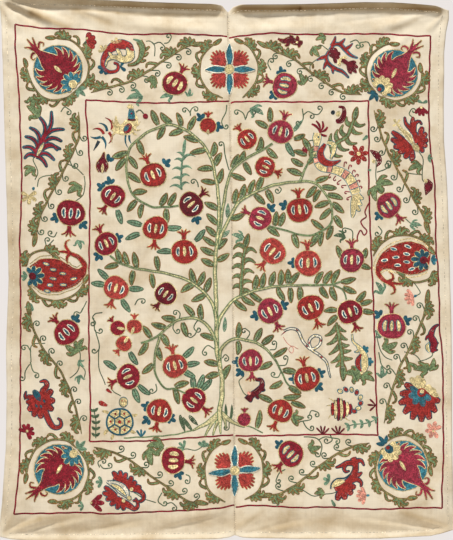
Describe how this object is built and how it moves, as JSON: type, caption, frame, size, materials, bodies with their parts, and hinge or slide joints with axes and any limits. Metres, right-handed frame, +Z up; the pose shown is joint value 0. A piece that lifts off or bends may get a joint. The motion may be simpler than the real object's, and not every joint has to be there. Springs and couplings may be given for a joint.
{
  "type": "embroidered textile wall hanging",
  "caption": "Tall cotton wall hanging of joined cloth panels, embroidered all over with a pomegranate tree in a flowered border; hangs from points on its top edge.",
  "frame": {"origin": "the middle fixing point: the back of the cloth at the top of the seam between the panels", "axes": "+Z up, +X to the viewer's right along the top edge, embroidered face towards -Y and the wall at Y = 0"},
  "size_m": [1.1425, 0.0211, 1.3535],
  "materials": {
    "cloth": "unbleached cotton, embroidered in silk"
  },
  "bodies": {
    "root": {"cloth_left": "cloth", "cloth_right": "cloth"}
  },
  "joints": []
}
